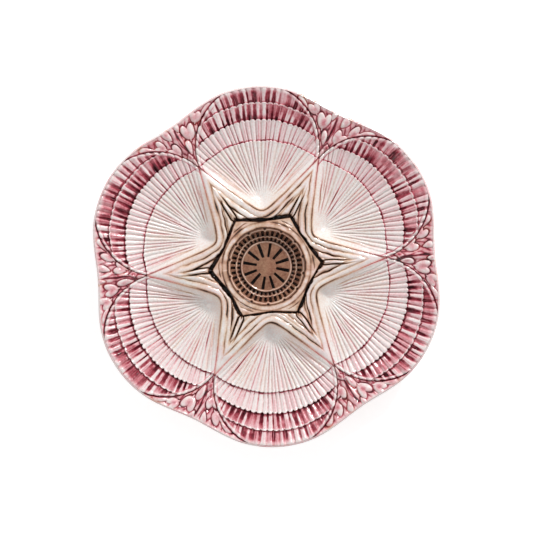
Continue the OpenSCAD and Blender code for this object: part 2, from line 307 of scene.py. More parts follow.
# Each piece of weed: place out from the corner and across, half length, half width, turn in degrees, kind
WEED = (
    (9.6, 1.2, 2.9, 2.0, -14, "bud"),
    (5.0, -0.4, 2.6, 0.8, 4, "drop"),
    (15.6, -3.1, 4.6, 1.7, -12, "drop"),
    (17.8, 6.6, 4.6, 3.9, 24, "heart"),
    (24.0, -7.6, 5.3, 3.9, -10, "heart"),
    (25.2, 14.4, 4.6, 3.6, 48, "heart"),
    (29.6, -16.6, 4.3, 3.4, -42, "heart"),
    (28.8, 22.6, 4.6, 1.9, 62, "drop"),
    (30.6, -25.4, 4.8, 1.8, -66, "drop"),
    (29.6, 6.4, 3.6, 2.0, 20, "drop"),
    (31.2, -2.6, 2.6, 1.5, -4, "drop"),
    (26.8, 32.0, 4.6, 1.3, 74, "drop"),
    (28.0, -34.0, 4.6, 1.3, -76, "drop"),
)
CORNER_R = 80.8


def weed_shape(along, across, length, width, kind):
    """Signed distance outside one piece of weed, which points along."""
    if kind == "heart":
        lobe = np.inf
        for side in (-1, 1):
            a = along - 0.18 * length
            b = across - side * 0.46 * width
            tilt = side * 0.30
            p = a * math.cos(tilt) + b * math.sin(tilt)
            q = -a * math.sin(tilt) + b * math.cos(tilt)
            lobe = np.minimum(lobe, (np.sqrt((p / (0.86 * length)) ** 2 + (q / (0.58 * width)) ** 2) - 1) * 0.58 * width)
        stem = np.abs(across) - 0.42 * width * np.clip((along + length) / length, 0, 1)
        stem = np.maximum(stem, np.maximum(along - 0.2 * length, -length - along))
        return np.minimum(lobe, stem)
    if kind == "bud":
        return (np.abs(along) / length + np.abs(across) / width - 1) * 0.75 * width
    narrow = width * (1 + 0.35 * np.clip(along / length, -1, 1))
    return (np.sqrt((along / length) ** 2 + (across / narrow) ** 2) - 1) * width


def weed_surface(radius, off_mid, seed, side):
    """Height and glaze of a panel, where off_mid is the angle from the middle between its two lobes."""
    near = SECTOR / 2 - np.abs(off_mid)
    start, end = outer_edge(near), rim_at(near)
    share = np.clip((radius - start) / (end - start), 0, 1)
    inner = well_floor(start * np.cos(near), start * np.sin(near)) + STEP_H * 0.5 - 0.7
    top = rim_z(near)
    ground = inner + (top - inner) * share

    along = radius * np.cos(off_mid) - CORNER_R
    across = radius * np.sin(off_mid) * side
    along_w = along + 0.5 * drift(along, across, 6, seed)
    across_w = across + 0.5 * drift(along, across, 6, seed + 1)

    gap = np.full_like(radius, 9.0)
    dome = np.zeros_like(radius)
    blush = np.zeros_like(radius)
    rng = np.random.default_rng(seed + 2)
    for place, sideways, length, width, turn, kind in WEED:
        shake = rng.uniform(-1, 1, 4)
        a0, b0 = place + 0.5 * shake[0], sideways + 0.5 * shake[1]
        swing = math.radians(turn + 7 * shake[2])
        grow = 1 + 0.07 * shake[3]
        a = (along_w - a0) * math.cos(swing) + (across_w - b0) * math.sin(swing)
        b = -(along_w - a0) * math.sin(swing) + (across_w - b0) * math.cos(swing)
        outside = weed_shape(a, b, length * grow, width * grow, kind)
        bump = np.sqrt(np.clip(-outside / (0.75 * width), 0, 1))
        tint = {"bud": 0.50, "heart": 0.30, "drop": 0.22}[kind]
        blush = np.where(outside < gap, tint * ridge(np.hypot(a / length, b / width), 0.62), blush)
        dome = np.maximum(dome, bump)
        gap = np.minimum(gap, outside)

    wave = across_w * (1.05 - 0.006 * along) + 1.4 * np.sin(along_w / 4.5)
    frond = np.abs(np.sin(wave * math.pi / 3.1 + drift(along, across, 7, seed + 3)))
    stem = ridge(across_w - 0.15 * np.sin(along / 3), 0.55) * smooth(12, 15, along) * smooth(31, 28.5, along)
    beside = ridge(np.abs(across_w) - 1.7, 0.8) * smooth(12, 16, along) * smooth(33, 29, along)
    open_ground = smooth(-0.1, 0.5, gap)
    room = smooth(0.5, 3.0, end - start)
    height = ground + room * (0.95 * dome - 0.55 * ridge(gap - 0.45, 0.5) - 0.5 * stem + 0.25 * beside)
    height += 0.42 * room * open_ground * (frond - 0.5) * smooth(0.6, 2.2, gap)
    height -= 0.65 * ridge(radius - start - 0.3, 0.8) * smooth(0.5, 2.5, end - start)

    outline = ridge(np.maximum(0, gap - 0.35), 0.60) * open_ground
    rim_fade = smooth(1.0, 4.5, end - radius)
    shade = (1 - frond) ** 1.5
    rose = 0.34 + 0.18 * drift(along, across, 4, seed + 4) + 0.48 * shade * (0.35 + 0.65 * rim_fade)
    rose = rose * (0.5 + 0.5 * rim_fade)
    inside = 0.11 + blush + 0.12 * drift(along, across, 3, seed + 5)
    rose = rose * open_ground + inside * (1 - open_ground)
    bold = 0.86 + 0.30 * drift(along, across, 4, seed + 6)
    rose = np.maximum(rose, bold * np.minimum(1, 1.25 * outline) * (0.35 + 0.65 * rim_fade))
    rose += 0.75 * stem - 0.12 * beside
    line = ridge(radius - start - 0.4, 1.1) * smooth(0.8, 3, end - start)
    rose = np.maximum(rose, line * (0.98 - 0.15 * drift(along, across, 7, seed + 7)))
    burnt = drift(along, across, 6, seed + 8)
    umber = 0.72 * line * smooth(30, 6, along) * (0.6 + 0.6 * burnt) + 0.5 * outline * np.clip(burnt, 0, 1) + 0.02
    return height, np.clip(rose, 0, 1), np.clip(umber, 0, 1)


# Surface of the folded stems between the collar and the shells

FOLD_PITCH = 4.0
MOAT_W = 1.9
MOAT_H = 3.0
ARM_RISE = 1.4
SIDE_IN = 0.8


def collar_edge(angle):
    """Radius of the six-sided collar, whose sides face the lobes, a little uneven as it was modelled."""
    off = off_lobe(angle)
    side = np.floor(((angle - FIRST_LOBE + SECTOR / 2) % FULL_TURN) / SECTOR)
    straight = COLLAR_FLAT / np.cos(off + 0.035 * (chance(side, 320) - 0.5) * np.cos(3 * off))
    straight = straight - SIDE_IN * (0.5 + 0.5 * np.cos(LOBES * off))
    ripple = 0.35 * drift(np.cos(angle) * COLLAR_FLAT, np.sin(angle) * COLLAR_FLAT, 11, 321)
    return straight + (ripple - 0.2) * smooth(SECTOR / 2, SECTOR / 3, np.abs(off)) + 0.25 * ripple


def star_surface(x, y):
    radius, angle = np.hypot(x, y), np.arctan2(y, x)
    off = off_lobe(angle)
    across_shell = radius * np.sin(np.abs(off))
    inside = np.maximum(0, -fold_distance(radius * np.cos(off), across_shell))
    off_arm = (angle - FIRST_LOBE) % SECTOR - SECTOR / 2
    along, across = radius * np.cos(off_arm), radius * np.sin(off_arm)
    arm = np.floor(((angle - FIRST_LOBE) % FULL_TURN) / SECTOR)
    wall = 2 * arm + (across > 0)

    # Soft folds follow the shells, closer where the arms narrow
    folded = inside + 0.8 * drift(x, y, 13, 301) + 0.35 * drift(x, y, 4, 302)
    folded = np.where(inside < 1.2, inside, inside + (folded - inside) * smooth(1.2, 4, inside))
    turn = folded / (FOLD_PITCH + 0.9 * (chance(wall, 308) - 0.5) * smooth(0, 6, inside))
    pleat = np.abs(2 * (turn - np.floor(turn)) - 1)
    keep = smooth(0.2, 1.2, inside)
    crest = ARM_RISE * ridge(across, 6.5) * smooth(38, 50, along) * smooth(80, 66, along)
    height = WEB_Z + crest * smooth(0, 5, inside) + 0.75 * keep * ((1 - pleat ** 2.2) - 0.5)
    height += 0.25 * drift(x, y, 5, 309) * keep

    # A pale strand runs out from each corner of the collar, between two deep cuts
    lean = (chance(arm, 310) - 0.5) * 3.0
    centre = across - lean * smooth(38, 64, along) + 0.4 * drift(along, arm * 7, 7, 313)
    half = (1.3 + 0.5 * chance(arm, 314)) * np.sqrt(np.clip((67 - along) / 26, 0, 1)) * smooth(36.2, 40, along)
    reach = smooth(65, 50 - 5 * chance(wall, 311), along) * smooth(36.2, 37.4, along)
    strand = ridge(centre, 1.2) * reach
    thick = 0.42 + 0.30 * chance(wall, 315)
    cut = ridge(np.abs(centre) - half - 0.25, thick) * reach
    height += 0.9 * strand - 1.5 * cut

    # Wedge-shaped slits lie beside the strands, along the third fold
    slit_w = 0.25 + 0.55 * ridge(radius - 41 - 4 * chance(wall, 316), 4.5)
    slit = ridge(folded - 6.6 - 1.6 * chance(wall, 317), slit_w) * smooth(54, 47, radius) * keep
    slit *= 0.35 + 0.65 * (chance(wall, 312) > 0.3)
    height -= 1.1 * slit

    moat = radius - collar_edge(angle)
    side = np.floor(((angle - FIRST_LOBE + SECTOR / 2) % FULL_TURN) / SECTOR)
    wide = MOAT_W * (0.55 + 0.95 * chance(side, 318)) * (1 + 0.5 * drift(x, y, 6, 303) + 0.25 * drift(x, y, 2, 325))
    wide = wide * (0.8 + 0.5 * smooth(math.radians(8), math.radians(28), np.abs(off)))
    sunk = 1 - smooth(0.5 * wide, 1.05 * wide + 0.2, moat)
    height -= MOAT_H * sunk

    # Brown glaze stands in every fold, and is rubbed off their crests
    which = np.floor(turn + 0.5)
    soft = chance(wall * 7 + which, 324)
    vein = (1 - 0.6 * soft) * ridge(1 - pleat, 0.16) + (0.25 + 0.45 * soft) * ridge(1 - pleat, 0.5)
    strength = np.where(which <= 1, 0.60, np.where(which == 2, 0.42, 0.22))
    strength = strength * (0.75 + 0.9 * drift(x, y, 8, 304)) * (0.5 + 0.8 * chance(wall * 5 + which, 319))
    far_out = smooth(80, 50, radius)
    umber = 0.17 + 0.07 * drift(x, y, 6, 305) - 0.13 * (1 - pleat) * keep
    umber -= 0.09 * smooth(50, 74, radius)
    umber += vein * keep * np.clip(strength, 0.06, 1) * (0.14 + 0.86 * far_out)
    umber += 0.16 * smooth(0.45, 0.85, pleat) * np.clip(drift(x, y, 3.2, 306), 0, 1)
    umber = np.maximum(umber, np.clip(1.15 * cut, 0, 1) * (0.45 + 0.55 * smooth(66, 50, along)))
    umber = np.maximum(umber, 0.97 * slit)
    umber = np.maximum(umber, smooth(0.25, 0.7, sunk))
    tip_line = ridge(inside, 0.9) * (0.22 + 0.74 * ridge(across_shell, 22))
    umber = np.maximum(umber, tip_line * (0.85 + 0.3 * drift(x, y, 7, 322)))
    umber -= 0.12 * strand
    rose = 0.06 + 0.07 * drift(x, y, 10, 307) + 0.30 * vein * smooth(56, 76, radius) * (0.6 + 0.6 * drift(x, y, 9, 323))
    rose += 0.30 * ridge(inside, 0.6) * smooth(18, 34, across_shell)
    return height, np.clip(rose, 0, 1), np.clip(umber, 0, 1)


# Surface of the collar and its rolled ring

RING_W = 3.8
COLLAR_Z = RING_TOP - 2.2


def collar_surface(x, y):
    radius, angle = np.hypot(x, y), np.arctan2(y, x)
    edge = collar_edge(angle) - radius
    ring_mid = CUP_R + RING_W / 2 + 0.25 * drift(x, y, 12, 409)
    roll = np.clip(1 - ((radius - ring_mid) / (RING_W / 2)) ** 2, 0, 1)
    hand = 0.22 * drift(x, y, 6, 401)
    height = COLLAR_Z + (RING_TOP - COLLAR_Z) * np.sqrt(roll) * + hand * smooth(0, 0.3, roll) - 0.2
    beyond = radius - (CUP_R + RING_W)
    crease = ridge(beyond - 2.1 - 0.5 * drift(x, y, 8, 402), 0.38) * smooth(1.2, 2.6, edge)
    height -= 0.45 * crease + 0.35 * ridge(np.minimum(beyond, 3), 0.35)
    height -= 1.1 * (1 - smooth(0, 0.9, edge))
    brushed = drift(angle * 34, radius * 1.6, 3.2, 404)
    umber = 0.33 + 0.11 * drift(x, y, 5, 403) + 0.14 * brushed
    # Painted highlight: the ring's rounded crest is made paler all round.
    umber -= 0.13 * ridge(radius - ring_mid, 1.3)
    umber += 0.44 * ridge(beyond, 0.55) * (0.7 + 0.6 * drift(x, y, 6, 405)) + 0.44 * crease
    umber -= 0.08 * smooth(0.8, 2.5, beyond)
    umber += 0.45 * ridge(radius - CUP_R, 0.7)
    umber += 0.6 * (1 - smooth(0.15, 0.9, edge))
    rose = 0.09 + 0.06 * drift(x, y, 9, 406)
    return height, np.clip(rose, 0, 1), np.clip(umber, 0, 1)


# Surface of the sauce cup

CUP_FLOOR = 9.0
DISC_R = 17.1
DISC_H = 1.6
PIT_R = 18.0
SLOTS = 12
NOTCHES = 42
SCALLOPS = 14
PATTERN_TURN = math.radians(15.5)


def teeth(angle, count):
    """Angle from the nearest of count even places."""
    pitch = 2 * math.pi / count
    return (angle + pitch / 2) % pitch - pitch / 2


def bar(distance, half_width, along, low, high, soft=0.36):
    """A bar across distance, from low to high along its length."""
    ends = smooth(low - soft, low + soft, along) * (1 - smooth(high - soft, high + soft, along))
    return (1 - smooth(half_width - soft, half_width + soft, np.abs(distance))) * ends


def cup_surface(x, y):
    radius, angle = np.hypot(x, y), np.arctan2(y, x) - PATTERN_TURN
    wobble = 0.22 * drift(x, y, 6, 501)
    r = radius + wobble
    wall = np.clip((r - PIT_R) / (CUP_R - PIT_R), 0, 1) ** 1.7
    height = CUP_FLOOR + (COLLAR_Z - CUP_FLOOR) * wall
    height += DISC_H * (1 - smooth(DISC_R - 0.1, DISC_R + 0.7, r))
    bead = ridge(r - DISC_R + 0.1, 0.42)
    which = np.rint(angle / (2 * math.pi / SLOTS))
    tilt = 0.05 * (chance(which, 504) - 0.5)
    swell = 0.70 + 0.20 * chance(which, 505) + 0.03 * (r - 11)
    slot = bar(radius * np.sin(teeth(angle, SLOTS) - tilt), swell, r, 6.4 + 0.8 * chance(which, 506), 15.9)
    tooth = np.rint(angle / (2 * math.pi / NOTCHES))
    uneven = chance(tooth, 507)
    inner = bar(r * np.sin(teeth(angle, NOTCHES)), 0.62, r, 18.1, 19.9 - 0.4 * uneven)
    outer = bar(r * np.sin(teeth(angle, NOTCHES)), 0.66 + 0.06 * (r - 21), r, 21.3, 24.5 - 0.5 * uneven)
    wave = ridge(r - 20.6 - 0.28 * np.cos(NOTCHES * angle), 0.30)
    shift = math.pi / NOTCHES
    bite = ridge(r * np.sin(teeth(angle + shift, SCALLOPS)), 0.85)
    hem_r = 25.25 - 1.0 * bite
    hem = ridge(r - hem_r, 0.30)
    notch = bite * ridge(r - 25.9, 0.6)
    rim_line = smooth(25.7, 26.3, radius)
    height += 0.40 * bead + 0.32 * wave + 0.34 * hem - 1.8 * slot - 1.3 * inner - 1.5 * outer - 0.5 * notch

    patch = drift(x, y, 4.5, 502)
    umber = 0.57 + 0.06 * patch + 0.05 * drift(x, y, 1.5, 503) - 0.06 * smooth(7, 3, radius)
    umber += 0.10 * smooth(DISC_R + 0.3, DISC_R + 1, r) * smooth(26.5, 22, r)
    dark = np.maximum.reduce([slot, inner, outer, notch])
    pool = ridge(r - DISC_R - 0.85, 0.45)
    umber = np.maximum(umber, 0.58 + 0.42 * smooth(0.1, 0.7, dark))
    umber = np.maximum(umber, 0.92 * pool)
    umber = np.maximum(umber, 0.80 * rim_line)
    light = np.maximum.reduce([0.9 * bead, wave, hem]) * (1 - dark)
    umber -= 0.44 * light
    rose = 0.10 + 0.05 * patch
    return height, np.clip(rose, 0, 1), np.clip(umber, 0, 1)


# Underside

FOOT_W = 6.0
LEVEL_R = FOOT_R + 6.0
UNDER_CURVE = 0.85
BACK_T = 5.0


def under_surface(x, y):
    """Height of the back, which bulges under each shell."""
    radius, angle = np.hypot(x, y), np.arctan2(y, x)
    off = off_lobe(angle)
    share = np.clip((radius - LEVEL_R) / (rim_at(off) - LEVEL_R), 0, 1.05)
    cone = FOOT_H + (rim_z(off) - 2 * LIP - FOOT_H) * share ** UNDER_CURVE
    reach = np.hypot(radius * np.cos(off) - TIP_R, radius * np.sin(off))
    bulge = WELL_Z - BACK_T + (WELL_END_Z - WELL_Z) * np.minimum(1, reach / WELL_LENGTH) ** WELL_CURVE
    mix = 1.6
    lower = -mix * np.log(np.exp(-cone / mix) + np.exp(-np.maximum(bulge, FOOT_H) / mix))
    blend = smooth(RIM_R - 22, RIM_R - 9, radius)
    return np.maximum(FOOT_H, lower * (1 - blend) + cone * blend)


# Bodies: closed shapes from operators, whose points are then laid on the surfaces

def new_mesh(name, bm):
    mesh = bpy.data.meshes.new(name)
    bm.to_mesh(mesh)
    bm.free()
    return mesh


RING_MID = 3.0


def wrapped_base(columns, rows, ball, arc=FULL_TURN):
    """A grid wrapped round into a ball, a ring or an arc of tube, with its seams and poles welded.

    A ball's rows run from its top pole to its bottom one, and a ring's run once round its tube."""
    bm = bmesh.new()
    bmesh.ops.create_grid(bm, x_segments=columns, y_segments=rows, size=0.5)
    mesh = new_mesh("base", bm)
    co = points_of(mesh) + 0.5
    turn = co[:, 0] * arc
    down = co[:, 1] * (math.pi if ball else FULL_TURN)
    out, up = (np.sin(down), np.cos(down)) if ball else (RING_MID + np.cos(down), np.sin(down))
    mesh.vertices.foreach_set("co", np.stack([out * np.cos(turn), out * np.sin(turn), up], axis=1).ravel())
    bm = bmesh.new()
    bm.from_mesh(mesh)
    bpy.data.meshes.remove(mesh)
    bmesh.ops.remove_doubles(bm, verts=bm.verts, dist=0.00001)
    ends = [edge for edge in bm.edges if edge.is_boundary]
    if ends:
        bmesh.ops.holes_fill(bm, edges=ends, sides=0)
    return new_mesh("base", bm)


def points_of(mesh):
    co = np.empty(len(mesh.vertices) * 3)
    mesh.vertices.foreach_get("co", co)
    return co.reshape(-1, 3)


def ball_places(mesh, columns, rows):
    """Column and row of each point of a ball."""
    co = points_of(mesh)
    row = np.rint(np.arccos(np.clip(co[:, 2], -1, 1)) / math.pi * rows)
    column = np.rint(np.arctan2(co[:, 1], co[:, 0]) % (2 * math.pi) / (2 * math.pi) * columns) % columns
    return column, row


def ring_places(mesh, columns, rows, arc):
    """Column and row of each point of a ring or an arc."""
    co = points_of(mesh)
    turn = np.arctan2(co[:, 1], co[:, 0]) % FULL_TURN
    turn = np.where(turn > arc + 0.001, 0, turn)
    column = np.rint(turn / arc * columns)
    around = np.arctan2(co[:, 2], np.hypot(co[:, 0], co[:, 1]) - RING_MID) % (2 * math.pi)
    row = np.rint(around / (2 * math.pi) * rows) % rows
    return (column % columns if arc > 6.28 else column), row


def finish(name, mesh, x, y, z, material, nodes, rose=None, umber=None):
    """Puts the points in place, in metres, and makes the piece ride on the plate."""
    co = np.stack([x, y, z], axis=1) * MM
    mesh.vertices.foreach_set("co", co.ravel())
    mesh.update()
    bm = bmesh.new()
    bm.from_mesh(mesh)
    turned = bm.calc_volume(signed=True) < 0
    bm.free()
    if turned:
        mesh.flip_normals()
    for label, values in (("rose", rose), ("umber", umber)):
        if values is not None:
            mesh.attributes.new(label, "FLOAT", "POINT").data.foreach_set("value", values.astype(np.float32))
    mesh.shade_smooth()
    mesh.set_sharp_from_angle(angle=math.radians(62))
    mesh.name = name
    mesh.materials.append(material)
    piece = bpy.data.objects.new(name, mesh)
    bpy.context.scene.collection.objects.link(piece)
    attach(piece, "root")
    if nodes:
        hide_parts(*nodes)
    return piece


def turned(x, y, angle):
    return x * math.cos(angle) - y * math.sin(angle), x * math.sin(angle) + y * math.cos(angle)


# Materials

def linear(code):
    """Linear colour of an sRGB hex value."""
    parts = [int(code[i:i + 2], 16) / 255 for i in (1, 3, 5)]
    return [c / 12.92 if c <= 0.04045 else ((c + 0.055) / 1.055) ** 2.4 for c in parts] + [1.0]


def add(tree, kind, links=(), **values):
    """Adds a node, sets its inputs and properties, and links other nodes' sockets to its inputs."""
    item = tree.nodes.new(kind)
    for key, value in values.items():
        if key.startswith("in_"):
            socket = item.inputs[int(key[3:])]
            socket.default_value = value
        else:
            setattr(item, key, value)
    for socket, source in dict(links).items():
        tree.links.new(source, item.inputs[socket])
    return item


ROSE_STOPS = ((0.0, "#f6f2ef"), (0.14, "#f5e1e1"), (0.30, "#edbcc1"), (0.48, "#d4818b"),
              (0.64, "#a9404f"), (0.80, "#74202f"), (1.0, "#430b16"))
UMBER_STOPS = ((0.0, "#ffffff"), (0.16, "#f6e8db"), (0.34, "#e2c6ac"), (0.52, "#b48f75"),
               (0.68, "#81604d"), (0.84, "#3d251b"), (1.0, "#0b0403"))


def ramp(tree, stops, source):
    item = add(tree, "ShaderNodeValToRGB", {"Fac": source})
    marks = item.color_ramp.elements
    while len(marks) < len(stops):
        marks.new(0.5)
    for mark, (place, code) in zip(marks, stops):
        mark.position = place
        mark.color = linear(code)
    return item.outputs["Color"]


def majolica(name, roughness, mottle):
    """Lead-glazed earthenware: thin coloured glaze over white slip, dark where it pooled in the relief.
    It gives a wet, glassy surface with soft unevenness, fine specks and a net of fine craze lines."""
    material = bpy.data.materials.new(name)
    material.use_nodes = True
    tree = material.node_tree
    tree.nodes.clear()
    place = add(tree, "ShaderNodeTexCoord").outputs["Object"]
    cloud = add(tree, "ShaderNodeTexNoise", {"Vector": place}, noise_dimensions="3D")
    cloud.inputs["Scale"].default_value = 1 / (7 * MM)
    cloud.inputs["Detail"].default_value = 3
    grain = add(tree, "ShaderNodeTexNoise", {"Vector": place})
    grain.inputs["Scale"].default_value = 1 / (1.3 * MM)
    grain.inputs["Detail"].default_value = 4
    mixes = {}
    for label, strength in (("rose", mottle), ("umber", mottle * 0.8)):
        amount = add(tree, "ShaderNodeAttribute", attribute_name=label).outputs["Fac"]
        spread = add(tree, "ShaderNodeMapRange", {"Value": cloud.outputs["Fac"]})
        for socket, value in (("From Min", 0.3), ("From Max", 0.7), ("To Min", 1 - strength), ("To Max", 1 + strength)):
            spread.inputs[socket].default_value = value
        scaled = add(tree, "ShaderNodeMath", {0: amount, 1: spread.outputs["Result"]}, operation="MULTIPLY")
        speck = add(tree, "ShaderNodeMapRange", {"Value": grain.outputs["Fac"]})
        for socket, value in (("From Min", 0.35), ("From Max", 0.65), ("To Min", -0.035), ("To Max", 0.035)):
            speck.inputs[socket].default_value = value
        mixes[label] = add(tree, "ShaderNodeMath", {0: scaled.outputs[0], 1: speck.outputs["Result"]},
                           operation="ADD", use_clamp=True).outputs[0]
    red = ramp(tree, ROSE_STOPS, mixes["rose"])
    brown = ramp(tree, UMBER_STOPS, mixes["umber"])
    tint = add(tree, "ShaderNodeMix", {6: red, 7: brown}, data_type="RGBA", blend_type="MULTIPLY", in_0=1.0)

    craze = add(tree, "ShaderNodeTexVoronoi", {"Vector": place}, feature="DISTANCE_TO_EDGE")
    craze.inputs["Scale"].default_value = 1 / (4.5 * MM)
    line = add(tree, "ShaderNodeMapRange", {"Value": craze.outputs["Distance"]})
    for socket, value in (("From Min", 0.0), ("From Max", 0.02), ("To Min", 0.10), ("To Max", 0.0)):
        line.inputs[socket].default_value = value
    crazed = add(tree, "ShaderNodeMix", {0: line.outputs["Result"], 6: tint.outputs[2]}, data_type="RGBA")
    crazed.inputs[7].default_value = linear("#a98f80")

    uneven = add(tree, "ShaderNodeMapRange", {"Value": cloud.outputs["Fac"]})
    for socket, value in (("To Min", roughness * 0.6), ("To Max", roughness * 1.5)):
        uneven.inputs[socket].default_value = value
    ripple = add(tree, "ShaderNodeTexNoise", {"Vector": place})
    ripple.inputs["Scale"].default_value = 1 / (1.7 * MM)
    ripple.inputs["Detail"].default_value = 2
    bump = add(tree, "ShaderNodeBump", {"Height": ripple.outputs["Fac"]})
    bump.inputs["Strength"].default_value = 0.8
    bump.inputs["Distance"].default_value = 0.2 * MM
    shader = add(tree, "ShaderNodeBsdfPrincipled", {"Base Color": crazed.outputs[2],
                                                    "Roughness": uneven.outputs["Result"],
                                                    "Normal": bump.outputs["Normal"]})
    shader.inputs["IOR"].default_value = 1.52
    shader.inputs["Coat Weight"].default_value = 0.25
    shader.inputs["Coat Roughness"].default_value = 0.04
    add(tree, "ShaderNodeOutputMaterial", {"Surface": shader.outputs[0]})
    return material


def bare_clay(name):
    """Bisque earthenware: matte buff clay where the glaze was wiped off the foot before firing.
    It gives a dry, chalky surface, greyed in specks all over by fine grit."""
    material = bpy.data.materials.new(name)
    material.use_nodes = True
    tree = material.node_tree
    tree.nodes.clear()
    place = add(tree, "ShaderNodeTexCoord").outputs["Object"]
    cloud = add(tree, "ShaderNodeTexNoise", {"Vector": place})
    cloud.inputs["Scale"].default_value = 1 / (9 * MM)
    cloud.inputs["Detail"].default_value = 5
    grit = add(tree, "ShaderNodeTexNoise", {"Vector": place})
    grit.inputs["Scale"].default_value = 1 / (0.6 * MM)
    grit.inputs["Detail"].default_value = 3
    colour = ramp(tree, ((0.3, "#cdb59a"), (0.5, "#ddc9af"), (0.7, "#e7d8c2")), cloud.outputs["Fac"])
    worn = add(tree, "ShaderNodeMix", {0: grit.outputs["Fac"], 6: colour}, data_type="RGBA", blend_type="MULTIPLY")
    worn.inputs[7].default_value = linear("#d9cfc2")
    bump = add(tree, "ShaderNodeBump", {"Height": grit.outputs["Fac"]})
    bump.inputs["Strength"].default_value = 0.5
    bump.inputs["Distance"].default_value = 0.12 * MM
    shader = add(tree, "ShaderNodeBsdfPrincipled", {"Base Color": worn.outputs[2], "Normal": bump.outputs["Normal"]})
    shader.inputs["Roughness"].default_value = 0.85
    shader.inputs["IOR"].default_value = 1.5
    add(tree, "ShaderNodeOutputMaterial", {"Surface": shader.outputs[0]})
    return material


SHELL_GLAZE = majolica("rose_majolica_glaze", 0.14, 0.18)
WEED_GLAZE = majolica("crimson_majolica_glaze", 0.14, 0.22)
STEM_GLAZE = majolica("beige_majolica_glaze", 0.16, 0.16)
RING_GLAZE = majolica("cream_majolica_glaze", 0.15, 0.20)
CUP_GLAZE = majolica("brown_majolica_glaze", 0.13, 0.07)
BACK_GLAZE = majolica("pale_back_glaze", 0.18, 0.30)
FOOT_CLAY = bare_clay("bisque_foot")


# Pieces

def reach_of(turn):
    """Distance from the ribs' start to the shell's outline, by halving."""
    low, high = np.zeros_like(turn), np.full_like(turn, 90.0)
    for _ in range(26):
        mid = (low + high) / 2
        x, y = RIB_START + mid * np.cos(turn), mid * np.sin(turn)
        inside = (fold_distance(x, y) > 0) & (edge_distance(x, y) > 0)
        low, high = np.where(inside, mid, low), np.where(inside, high, mid)
    return low


FAN = math.radians(55)
FAN_SHARE = 0.80
SHELL_COLUMNS = 460
SHELL_ROWS = 146
BACK_SHARES = np.array([1.0, 0.97, 0.8, 0.6, 0.4, 0.2, 0.0])


def shell_wells():
    rows = SHELL_ROWS + len(BACK_SHARES)
    base = wrapped_base(SHELL_COLUMNS, rows, ball=True)
    column, row = ball_places(base, SHELL_COLUMNS, rows)
    share = column / SHELL_COLUMNS
    edge = FAN_SHARE
    turn = np.where(share < edge, (share / edge * 2 - 1) * FAN,
                    FAN + (share - edge) / (1 - edge) * (2 * math.pi - 2 * FAN))
    full = reach_of(turn)
    over = row - SHELL_ROWS - 1
    out = np.where(over < 0, np.minimum(1, row / SHELL_ROWS) ** 0.86, BACK_SHARES[np.clip(over, 0, 6).astype(int)])
    x, y = RIB_START + full * out * np.cos(turn), full * out * np.sin(turn)
    below = over >= 0
    leaf = LEAF * (1 - 0.8 * smooth(RIM_R - 30, RIM_R - 8, np.hypot(x, y)))
    for k in range(LOBES):
        top, rose, umber = shell_surface(x, y, 1000 * (k + 1))
        plain = well_floor(x, y)
        z = np.where(below, plain - leaf, top)
        px, py = turned(x, y, FIRST_LOBE + k * SECTOR)
        name = f"shell_well_{k + 1}"
        finish(f"{name}_glazed", base.copy(), px, py, z, SHELL_GLAZE, [name], rose, umber)


WEED_COLUMNS = 330
WEED_ROWS = 84
ROLL_TURNS = np.radians([80, 62, 44, 24, 4, -16, -36, -56, -72])


def seaweed_panels():
    rows = WEED_ROWS + len(ROLL_TURNS) + 3
    base = wrapped_base(WEED_COLUMNS, rows, ball=False, arc=1.0)
    column, row = ring_places(base, WEED_COLUMNS, rows, 1.0)
    off_mid = (column / WEED_COLUMNS - 0.5) * SECTOR
    near = SECTOR / 2 - np.abs(off_mid)
    start, end = outer_edge(near), rim_at(near)
    roll_in = LIP * (1 - math.cos(ROLL_TURNS[0]))
    inner = np.minimum(start, end - roll_in - 0.02)
    top_share = np.clip(row / (WEED_ROWS - 1), 0, 1)
    radius = inner + (end - roll_in - inner) * top_share
    on_roll = (row >= WEED_ROWS) & (row < WEED_ROWS + len(ROLL_TURNS))
    turn = ROLL_TURNS[np.clip(row - WEED_ROWS, 0, len(ROLL_TURNS) - 1).astype(int)]
    radius = np.where(on_roll, end - LIP + LIP * np.cos(turn), radius)
    roll_z = rim_z(near) - LIP + LIP * np.sin(turn)
    back = row - WEED_ROWS - len(ROLL_TURNS)
    back_share = np.array([0.75, 0.4, 0.0])[np.clip(back, 0, 2).astype(int)]
    last_r = end - LIP + LIP * math.cos(ROLL_TURNS[-1])
    last_z = rim_z(near) - LIP + LIP * math.sin(ROLL_TURNS[-1])
    radius = np.where(back >= 0, inner + (last_r - inner) * back_share, radius)
    inner_z = well_floor(inner * np.cos(near), inner * np.sin(near)) - LEAF
    back_z = inner_z + (last_z - inner_z) * back_share
    for k in range(LOBES):
        side = 1 if k % 2 == 0 else -1
        top, rose, umber = weed_surface(radius, off_mid, 3000 + 100 * k, side)
        top = top + (rim_z(near) - LIP + LIP * math.sin(ROLL_TURNS[0]) - top) * smooth(0.985, 1, top_share)
        z = np.where(on_roll, roll_z, np.where(back >= 0, back_z, top))
        rolled = np.where(on_roll | (back >= 0), 1.0, 0.0)
        pale = 0.16 + 0.10 * drift(radius * np.cos(off_mid), radius * np.sin(off_mid), 8, 3900 + k)
        rose = rose * (1 - rolled) + pale * rolled
        angle = FIRST_LOBE + (k + 0.5) * SECTOR + off_mid
        name = f"seaweed_{k + 1}"
        finish(f"{name}_glazed", base.copy(), radius * np.cos(angle), radius * np.sin(angle), z,
               WEED_GLAZE, [name], rose, umber)


STAR_COLUMNS = 1368
STAR_ROWS = 58


